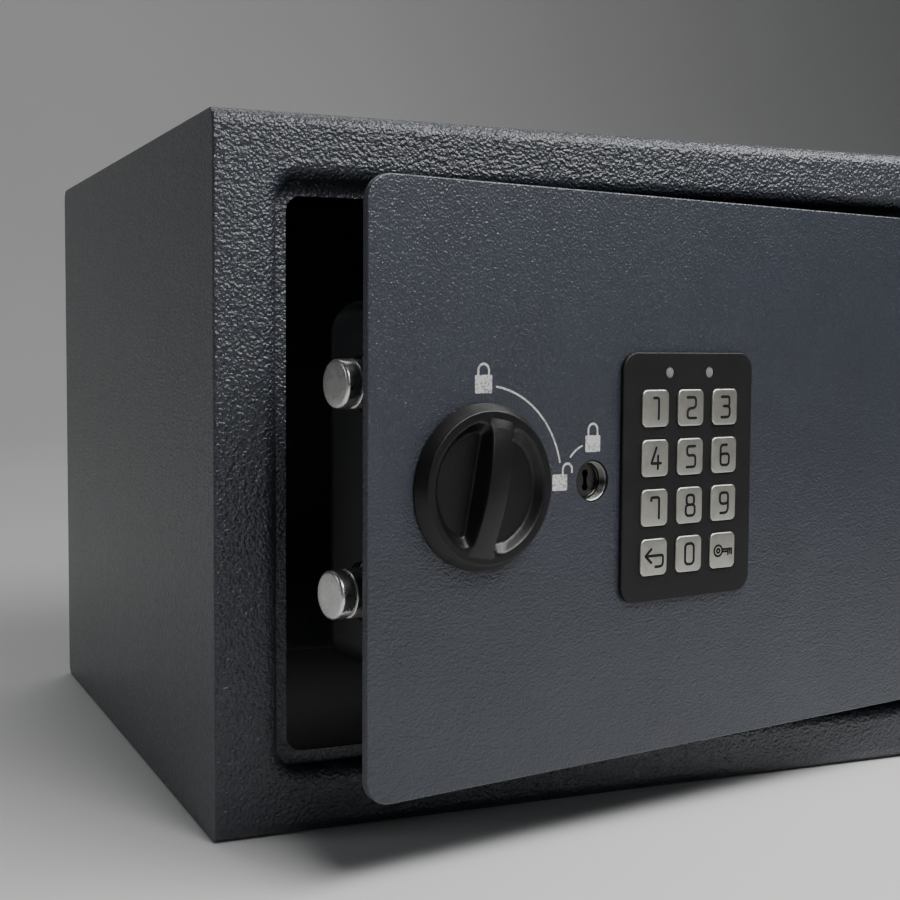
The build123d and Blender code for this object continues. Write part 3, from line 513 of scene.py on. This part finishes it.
def knob_height(x, y):
    """Height of the knob's face: a rim, a domed grip bar, and two pockets with rounded corners."""
    past_rim = math.hypot(x, y) - KNOB_POCKET_R
    past_bar = GRIP_HALF - abs(x)
    edge = soft_max(past_rim, past_bar, POCKET_CORNER)
    lean = min(max((past_rim - past_bar) / POCKET_CORNER + 0.5, 0.0), 1.0)
    wall = GRIP_SLOPE + (KNOB_WALL - GRIP_SLOPE) * lean
    crest = (GRIP_CREST - KNOB_RIM_H) * max(1 - (y / KNOB_POCKET_R) ** 2, 0.0)
    crown = GRIP_CROWN * (1 - min(abs(x) / GRIP_HALF, 1.0) ** 2)
    bar = ease((GRIP_HALF + GRIP_SLOPE - abs(x)) / GRIP_SLOPE)
    top = KNOB_RIM_H + (crest + crown * min(crest, 1.0)) * bar
    return KNOB_FLOOR + (top - KNOB_FLOOR) * ease((edge + wall) / wall)


grip_up = UP * math.cos(GRIP_LEAN) + RIGHT * math.sin(GRIP_LEAN)
grip_right = RIGHT * math.cos(GRIP_LEAN) - UP * math.sin(GRIP_LEAN)
knob_wall = [(0.0, 20.0), (0.0, KNOB_BASE_R - 0.2), (0.15, KNOB_BASE_R),
             (KNOB_RIM_H - KNOB_ROUND, KNOB_RIM_R + 0.25)]
for k in range(1, 7):
    a = math.pi / 2 * k / 6
    knob_wall.append((KNOB_RIM_H - KNOB_ROUND * (1 - math.sin(a)),
                      KNOB_RIM_R + 0.1 - KNOB_ROUND * (1 - math.cos(a))))
bm = bmesh.new()
height_disc(bm, on_face(KNOB, out=KNOB_GAP), grip_right, grip_up, OUT, knob_wall, KNOB_RIM_R - 0.6, 110, 448,
            knob_height)
knob = finish_mesh("knob_turned_grip", bm, "knob", 60)
dress(knob, LOOKS["knob_plastic"], "knob_plastic", "knob")

# ---- locking bolts ---------------------------------------------------------------------------------
BOLT_ROUND = 1.2
bolt_points = [v.co for v in NODES["locking_bolts"].data.vertices]
bolt_low, bolt_high = reach("locking_bolts", UP)
bolt_front, bolt_rear = reach("locking_bolts", INWARD)
bolt_tail = reach("locking_bolts", RIGHT)[1]
bolt_radius = (bolt_rear - bolt_front) / 2


def bolt_profile(length, r):
    """Turned bolt: rounded end, groove, shank and riveted tail, in millimetres."""
    profile = [(0.0, 0.02), (0.0, r * 0.4), (0.0, r - BOLT_ROUND)]
    for k in range(1, 7):
        a = math.pi / 2 * k / 6
        profile.append((BOLT_ROUND * (1 - math.cos(a)), r - BOLT_ROUND * (1 - math.sin(a))))
    for along, depth in ((4.3, 0), (4.5, 0.2), (4.6, 0.6), (5.6, 0.6), (5.7, 0.2), (5.9, 0)):
        profile.append((along, r - depth))
    profile += [(length - 3.2, r), (length - 3.0, r - 0.2), (length - 3.0, 4.0), (length - 0.3, 4.0),
                (length, 3.6), (length, 0.02)]
    return profile


bm = bmesh.new()
for height in (bolt_low + bolt_radius, bolt_high - bolt_radius):
    tip = min(p.dot(RIGHT) for p in bolt_points if abs(p.z - height) < bolt_radius * 1.01)
    foot = RIGHT * tip + UP * height + INWARD * (bolt_front + bolt_rear) / 2
    lathe(bm, foot, RIGHT, bolt_profile((bolt_tail - tip) / MM, bolt_radius / MM), 128)
bolts = finish_mesh("locking_bolts_turned", bm, "bolt_carriage", 40)
dress(bolts, LOOKS["bolt_steel"], "bolt_steel", "locking_bolts")

# ---- key lock --------------------------------------------------------------------------------------
MOUTH_R = 6.6
THREAD_R = 7.1
FACE_BACK = 0.6
PLUG_FACE = 3.9
BORE_R = 5.56
HOUSING_BACK = 28.6
THREAD_DEPTH = 0.3
lock_profile = [(HOUSING_BACK, BORE_R), (HOUSING_BACK, 8.5), (5.5, 8.5),
                (5.5, 10.5), (3.0, 10.5), (3.0, THREAD_R),
                (FACE_BACK + 0.2, THREAD_R), (FACE_BACK, THREAD_R - 0.2), (FACE_BACK, MOUTH_R + 0.15)]
turn_count = 6
pitch = (PLUG_FACE - FACE_BACK) / (turn_count + 0.5)
for k in range(turn_count):
    start = FACE_BACK + pitch * (k + 0.25)
    lock_profile += [(start, MOUTH_R), (start + pitch * 0.35, MOUTH_R - THREAD_DEPTH),
                     (start + pitch * 0.55, MOUTH_R - THREAD_DEPTH)]
lock_profile += [(PLUG_FACE - 0.15, MOUTH_R), (PLUG_FACE, MOUTH_R - 0.1), (PLUG_FACE, BORE_R + 0.12),
                 (PLUG_FACE + 0.12, BORE_R)]
bm = bmesh.new()
lathe(bm, LOCK, INWARD, lock_profile + lock_profile[:1], 128, closed=False)
lock = finish_mesh("keylock_housing_threaded", bm, "door", 30)
dress(lock, LOOKS["lock_chrome"], "lock_chrome", "keylock_housing")

# ---- keypad keys and their legends -----------------------------------------------------------------
KEY_CORNER = 2.2
KEY_CROWN = 0.22
KEY_ROUND = 0.55
STROKE = 1.0
GLYPH_HEIGHT = 7.4


def glyph(name):
    """Strokes of a key's legend, centred on it and 1 high: (points, closed)."""
    shapes = {
        "0": [(rounded_outline(0.58, 1.0, 0.2, 5), True)],
        "1": [(rounded_path([(-0.16, 0.5), (0.14, 0.5), (0.14, -0.5)], 0.12), False)],
        "2": [(rounded_path([(-0.28, 0.5), (0.28, 0.5), (0.28, 0.02),
                             (-0.26, -0.06), (-0.28, -0.5), (0.3, -0.5)], 0.17), False)],
        "3": [(rounded_path([(-0.26, 0.5), (0.26, 0.5), (0.26, 0.04), (-0.12, 0.04)], 0.12), False),
              (rounded_path([(-0.12, 0.04), (0.29, 0.04), (0.29, -0.5), (-0.28, -0.5)], 0.2), False)],
        "4": [(rounded_path([(0.02, 0.5), (-0.3, -0.24), (0.32, -0.24)], 0.05), False),
              ([(0.13, 0.1), (0.13, -0.5)], False)],
        "5": [(rounded_path([(0.27, 0.5), (-0.26, 0.5), (-0.26, 0.06),
                             (0.29, 0.06), (0.29, -0.5), (-0.28, -0.5)], 0.16), False)],
        "6": [(shifted(rounded_outline(0.58, 0.56, 0.17, 5), -0.22), True),
              (rounded_path([(-0.29, -0.2), (-0.29, 0.5), (0.14, 0.5)], 0.24), False)],
        "7": [(rounded_path([(-0.26, 0.36), (-0.26, 0.5), (0.24, 0.5), (0.24, -0.5)], 0.12), False)],
        "8": [(shifted(rounded_outline(0.6, 0.53, 0.18, 5), -0.235), True),
              (shifted(rounded_outline(0.5, 0.47, 0.16, 5), 0.265), True)],
        "9": [(shifted(rounded_outline(0.56, 0.54, 0.17, 5), 0.23), True),
              (rounded_path([(0.28, 0.2), (0.28, -0.5), (-0.24, -0.5)], 0.26), False)],
        "return": [(rounded_path([(-0.56, 0.08), (0.3, 0.08), (0.56, 0.08), (0.56, -0.46), (0.06, -0.46)],
                                 0.24), False),
                   ([(-0.22, 0.4), (-0.58, 0.08), (-0.22, -0.24)], False)],
        "unlock": [(arc(-0.34, 0, 0.27, 0.27, 0, 337.5, 15), True),
                   (arc(-0.34, 0, 0.1, 0.1, 0, 330, 11), True),
                   ([(-0.06, 0.06), (0.6, 0.06), (0.6, -0.2)], False),
                   ([(-0.06, -0.06), (0.3, -0.06)], False),
                   ([(0.34, 0.04), (0.34, -0.22)], False), ([(0.47, 0.04), (0.47, -0.16)], False)],
    }
    return shapes[name]


for node_name in sorted(n for n in NODES if n.startswith("key_") and n + "_press" in JOINTS):
    legend = node_name[4:]
    left, right_edge = reach(node_name, RIGHT)
    low, high = reach(node_name, UP)
    front, back = reach(node_name, OUT)
    flange = 0.9
    size = ((right_edge - left) / MM - 2 * flange, (high - low) / MM - 2 * flange)
    face_level = KNOB.dot(OUT)
    top = (back - face_level) / MM - KEY_CROWN
    base = (front - face_level) / MM
    spot = RIGHT * (left + right_edge) / 2 + UP * (low + high) / 2 + OUT * face_level
    bm = bmesh.new()
    pillow(bm, spot, RIGHT, UP, OUT, size, KEY_CORNER, base, top, KEY_ROUND, KEY_CROWN)
    foot_size = (size[0] + 2 * flange, size[1] + 2 * flange)
    pillow(bm, spot, RIGHT, UP, OUT, foot_size, 0.8, base, base + flange, 0.15, 0)
    cap = finish_mesh(node_name + "_cap", bm, node_name, 50)
    dress(cap, LOOKS["key_silver"], "key_silver", node_name)

    half_w, half_h = size[0] / 2, size[1] / 2

    def on_cap(x, y, rise):
        s = min(max(abs(x) / half_w, abs(y) / half_h), 1.0)
        return on_face(spot, x, y, top + KEY_CROWN * (1 - s * s) + 0.05 + rise)
    bm = bmesh.new()
    stroke = STROKE * 0.75 if legend == "unlock" else STROKE
    for points, closed in glyph(legend):
        path = fine([(x * GLYPH_HEIGHT, y * GLYPH_HEIGHT) for x, y in points], 0.4, closed)
        sweep(bm, path, stroke, 0.03, on_cap, closed)
    ink = finish_mesh("legend_" + legend, bm, node_name, 60)
    dress(ink, INK, "keypad_plastic")

# ---- indicator lenses ------------------------------------------------------------------------------
lens_left, lens_right = reach("indicator_lenses", RIGHT)
lens_low, lens_high = reach("indicator_lenses", UP)
lens_back, lens_front = reach("indicator_lenses", OUT)
lens_radius = (lens_high - lens_low) / 2
R_LENS = lens_radius / MM
lens_depth = (lens_front - lens_back) / MM
bm = bmesh.new()
for x in (lens_left + lens_radius, lens_right - lens_radius):
    foot = RIGHT * x + UP * (lens_low + lens_high) / 2 + OUT * lens_back
    dome = [(lens_depth - 0.35 * (q / R_LENS) ** 2, q) for q in (R_LENS * (1 - k / 8) for k in range(8))]
    lathe(bm, foot, OUT, [(0, R_LENS)] + dome + [(lens_depth, 0.01)], 48)
lenses = finish_mesh("indicator_lenses_domed", bm, "door", 50)
dress(lenses, LOOKS["lens_grey"], "lens_grey", "indicator_lenses")

# ---- printed marks on the door ---------------------------------------------------------------------
PRINT_RISE = 0.03


def on_door(centre):
    """Placer for printed marks, in millimetres about a point on the door's face."""
    def place(x, y, rise):
        return on_face(centre, x, y, 0.02 + rise)
    return place


def padlock(name, centre, body_x, body_y, width, shackle):
    """Printed padlock: a filled body and a shackle line."""
    bm = bmesh.new()
    outline = rounded_outline(width, width * 0.86, 0.5, 4)
    rings = [[on_face(centre, body_x + x, body_y + y, h) for x, y in outline] for h in (0.0, PRINT_RISE)]
    loft_rings(bm, rings)
    sweep(bm, [(body_x + x, body_y + y) for x, y in shackle], 0.75, PRINT_RISE, on_door(centre))
    mark = finish_mesh(name, bm, "door", 40)
    dress(mark, PRINT, "bolt_steel")


def shackle_points(width, rise, shift=0.0):
    """Two legs joined by a half ring."""
    half = width / 2
    legs = rise - half
    ring = arc(shift, 2.6 + legs, half, half, 180, 0, 12)
    return [(shift - half, 2.6)] + ring + [(shift + half, 2.6)]


padlock("print_locked", KNOB, -0.1, 33.5, 6.9, shackle_points(4.3, 3.9))
padlock("print_keyed", LOCK, 0.0, 12.8, 6.6, shackle_points(4.1, 4.2))
open_shackle = [(1.3, 2.6)] + arc(3.3, 4.3, 2.0, 2.0, 180, 0, 12) + [(5.3, 3.4)]
padlock("print_unlocked", KNOB, 32.3, 0.1, 6.4, open_shackle)
for name, centre, radius, start, end in (("print_knob_arc", KNOB, 33.0, 80.8, 12.3),
                                         ("print_key_arc", LOCK, 13.1, 139.0, 112.0)):
    bm = bmesh.new()
    sweep(bm, arc(0, 0, radius, radius, start, end, 48), 0.65, PRINT_RISE, on_door(centre))
    dress(finish_mesh(name, bm, "door", 60), PRINT, "bolt_steel")

# ---- case screws with cross recesses ---------------------------------------------------------------
SCREW_R = 3.0
SCREW_HEAD = 1.9
CROSS_HALF = 0.42
CROSS_REACH = 1.75
CROSS_DEPTH = 1.2


def screw_height(x, y):
    dome = SCREW_HEAD - 0.75 * (math.hypot(x, y) / SCREW_R) ** 2
    across, along = min(abs(x), abs(y)), max(abs(x), abs(y))
    wall = ease((across - CROSS_HALF + 0.1) / 0.2)
    end = ease((along - CROSS_REACH + 0.35) / 0.45)
    return dome - CROSS_DEPTH * (1 - max(wall, end))


screw_left, screw_right = reach("case_screws", RIGHT)
screw_low, screw_high = reach("case_screws", UP)
case_back = reach("lock_case", INWARD)[1]
bm = bmesh.new()
for x in (screw_left + SCREW_R * MM, screw_right - SCREW_R * MM):
    for z in (screw_low + SCREW_R * MM, screw_high - SCREW_R * MM):
        foot = RIGHT * x + UP * z + INWARD * case_back
        lathe(bm, foot, OUT, [(0.0, 1.5), (9.0, 1.5), (9.5, 1.1)], 24)
        lean = random.uniform(0, math.pi / 2)
        slot_right = RIGHT * math.cos(lean) + UP * math.sin(lean)
        slot_up = UP * math.cos(lean) - RIGHT * math.sin(lean)
        height_disc(bm, foot, slot_right, slot_up, INWARD, [(0.0, 1.5), (0.0, SCREW_R), (0.8, SCREW_R)],
                    SCREW_R - 0.12, 26, 96, screw_height)
screws = finish_mesh("case_screws_cross", bm, "door", 40)
dress(screws, LOOKS["plated_steel"], "plated_steel", "case_screws")

# ---- battery lid with finger grips -----------------------------------------------------------------
RIB_COUNT = 7
RIB_LONGEST = 9
RIB_PITCH = 1.8
lid_left, lid_right = reach("battery_lid", RIGHT)
lid_low, lid_high = reach("battery_lid", UP)
lid_front, lid_back = reach("battery_lid", INWARD)
lid_size = ((lid_right - lid_left) / MM, (lid_high - lid_low) / MM)
lid_spot = RIGHT * (lid_left + lid_right) / 2 + UP * (lid_low + lid_high) / 2 + INWARD * lid_front
lid_top = (lid_back - lid_front) / MM
bm = bmesh.new()
pillow(bm, lid_spot, RIGHT, UP, INWARD, lid_size, 1.6, 0.0, lid_top, 0.4, 0.0)


def on_lid(x, y, rise):
    return lid_spot + (RIGHT * x + UP * y + INWARD * (lid_top + rise)) * MM


for k in range(RIB_COUNT):
    rib_half = RIB_LONGEST - RIB_PITCH * k * 0.5
    rib_height = lid_size[1] / 2 - 6 - RIB_PITCH * k
    sweep(bm, [(-rib_half, rib_height), (rib_half, rib_height)], 0.9, 0.5, on_lid)
lid = finish_mesh("battery_lid_ribbed", bm, "door", 45)
dress(lid, LOOKS["case_plastic"], "case_plastic", "battery_lid")

# ---- felt mat --------------------------------------------------------------------------------------
mat_lo, mat_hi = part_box("floor_mat")
HOLE_R = 13.0 * MM
ANCHOR_X = frame["record"]["mounts"][1]["dims"]["spacing_x_mm"] / 2 * MM
MAT_STEP = 2.5 * MM
columns = round((mat_hi.x - mat_lo.x) / MAT_STEP)
rows = round((mat_hi.y - mat_lo.y) / MAT_STEP)


def mat_spot(i, j):
    """Place of a grid point of the mat, whole or half steps."""
    return (mat_lo.x + (mat_hi.x - mat_lo.x) * i / columns, mat_lo.y + (mat_hi.y - mat_lo.y) * j / rows)


def from_hole(x, y):
    """Offset from the middle of the nearer anchor hole."""
    return Vector((x - math.copysign(ANCHOR_X, x), y))


cells = {(i, j) for i in range(columns) for j in range(rows)
         if from_hole(*mat_spot(i + 0.5, j + 0.5)).length > HOLE_R}
grid = {}
for i in range(columns + 1):
    for j in range(rows + 1):
        x, y = mat_spot(i, j)
        offset = from_hole(x, y)
        beside = {(i - a, j - b) in cells for a in (0, 1) for b in (0, 1)}
        if len(beside) == 2 and offset.length < HOLE_R + 2 * MAT_STEP:
            pull = offset.normalized() * HOLE_R - offset
            x, y = x + pull.x, y + pull.y
        grid[i, j] = (x, y)
bm = bmesh.new()
top_verts, low_verts = {}, {}
for key, (x, y) in grid.items():
    wave = noise.noise(Vector((x, y, 0.3)) / 0.05) * 0.0003
    top_verts[key] = bm.verts.new((x, y, mat_hi.z - 0.0004 + wave))
    low_verts[key] = bm.verts.new((x, y, mat_lo.z))
for i, j in sorted(cells):
    corners = ((i, j), (i + 1, j), (i + 1, j + 1), (i, j + 1))
    bm.faces.new([top_verts[c] for c in corners])
    bm.faces.new([low_verts[c] for c in reversed(corners)])
    for (di, dj), (a, b) in (((0, -1), (0, 1)), ((1, 0), (1, 2)), ((0, 1), (2, 3)), ((-1, 0), (3, 0))):
        if (i + di, j + dj) not in cells:
            first, last = corners[a], corners[b]
            bm.faces.new((low_verts[first], low_verts[last], top_verts[last], top_verts[first]))
bmesh.ops.delete(bm, geom=[v for v in bm.verts if not v.link_faces], context="VERTS")
mat = finish_mesh("floor_mat_felt", bm, "cabinet", 50)
dress(mat, LOOKS["mat_felt"], "mat_felt", "floor_mat")

# ---- floor, lights and camera ----------------------------------------------------------------------
FLOOR_HALF = 6.0
BEND_START = 2.2
BEND_RADIUS = 1.2
BEND_STEPS = 12
BACKDROP_TOP = 5.0
floor_mesh = bpy.data.meshes.new("studio_floor")
bm = bmesh.new()
sweep_profile = [(-FLOOR_HALF, 0.0), (BEND_START, 0.0)]
for k in range(1, BEND_STEPS + 1):
    a = QUARTER * k / BEND_STEPS
    sweep_profile.append((BEND_START + BEND_RADIUS * math.sin(a), BEND_RADIUS * (1 - math.cos(a))))
sweep_profile.append((BEND_START + BEND_RADIUS, BACKDROP_TOP))
for (y0, z0), (y1, z1) in zip(sweep_profile, sweep_profile[1:]):
    corners = ((-FLOOR_HALF, y0, z0), (FLOOR_HALF, y0, z0), (FLOOR_HALF, y1, z1), (-FLOOR_HALF, y1, z1))
    bm.faces.new([bm.verts.new(p) for p in corners])
bmesh.ops.remove_doubles(bm, verts=bm.verts, dist=1e-6)
bm.to_mesh(floor_mesh)
bm.free()
for face in floor_mesh.polygons:
    face.use_smooth = True
floor = bpy.data.objects.new("studio_floor", floor_mesh)
bpy.context.scene.collection.objects.link(floor)
paper = Material("studio_paper", (0.72, 0.72, 0.71), 0.8)
paper.colour(paper.ramp(paper.noise(0.8, 2), (0.3, (0.70, 0.70, 0.69)), (0.7, (0.74, 0.74, 0.73))))
floor.data.materials.append(paper.material)
floor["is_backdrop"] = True


def area_light(name, spot, target, size, power, colour=(1, 1, 1)):
    light = bpy.data.lights.new(name, "AREA")
    light.shape = "RECTANGLE"
    light.size, light.size_y = size
    light.energy = power
    light.color = colour
    lamp = bpy.data.objects.new(name, light)
    lamp.location = spot
    lamp.rotation_euler = (Vector(target) - Vector(spot)).to_track_quat("-Z", "Y").to_euler()
    bpy.context.scene.collection.objects.link(lamp)
    return lamp


area_light("top_light", (0.2, -0.42, 0.62), (0.0, -0.16, 0.2), (0.9, 0.22), 7.0)
area_light("high_light", (0.4, -0.8, 1.5), (0, -0.1, 0.15), (1.3, 0.6), 3.5)
area_light("side_light", (-1.6, 0.1, 0.75), (-0.17, 0, 0.12), (0.35, 0.9), 1.7, (0.93, 0.96, 1))
area_light("front_light", (-0.5, -2.4, 1.0), (0, -0.18, 0.13), (1.0, 0.7), 2.4, (0.95, 0.97, 1))
area_light("floor_light", (0.2, 1.6, 2.4), (0.2, 1.4, 0), (2.5, 1.5), 24)

world = bpy.data.worlds.new("studio")
bpy.context.scene.world = world
world.use_nodes = True
world.node_tree.nodes["Background"].inputs["Color"].default_value = (0.75, 0.78, 0.82, 1)
world.node_tree.nodes["Background"].inputs["Strength"].default_value = 0.07

CAMERA_SPOT = (-0.3026, -0.6427, 0.1690)
CAMERA_YAW = math.radians(23.47)
CAMERA_PITCH = math.radians(3.76)
CAMERA_ROLL = math.radians(0.33)
CAMERA_LENS = 36 * 1503 / 900
look = Vector((math.sin(CAMERA_YAW) * math.cos(CAMERA_PITCH), math.cos(CAMERA_YAW) * math.cos(CAMERA_PITCH),
               -math.sin(CAMERA_PITCH)))
level = Vector((math.cos(CAMERA_YAW), -math.sin(CAMERA_YAW), 0))
rise = level.cross(look)
camera_right = level * math.cos(CAMERA_ROLL) + rise * math.sin(CAMERA_ROLL)
camera_up = rise * math.cos(CAMERA_ROLL) - level * math.sin(CAMERA_ROLL)
camera_data = bpy.data.cameras.new("camera")
camera_data.lens = CAMERA_LENS
camera_data.sensor_width = 36
camera_data.sensor_fit = "HORIZONTAL"
camera_data.clip_start = 0.01
camera = bpy.data.objects.new("camera", camera_data)
turn = Matrix((camera_right, camera_up, -look)).transposed().to_4x4()
camera.matrix_world = Matrix.Translation(CAMERA_SPOT) @ turn
bpy.context.scene.collection.objects.link(camera)
bpy.context.scene.camera = camera


def plain(value):
    """Vectors and tuples as plain lists of numbers."""
    try:
        return [plain(v) for v in value]
    except TypeError:
        return float(value)


{"cad": plain(cad_box), "visual": plain(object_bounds())}
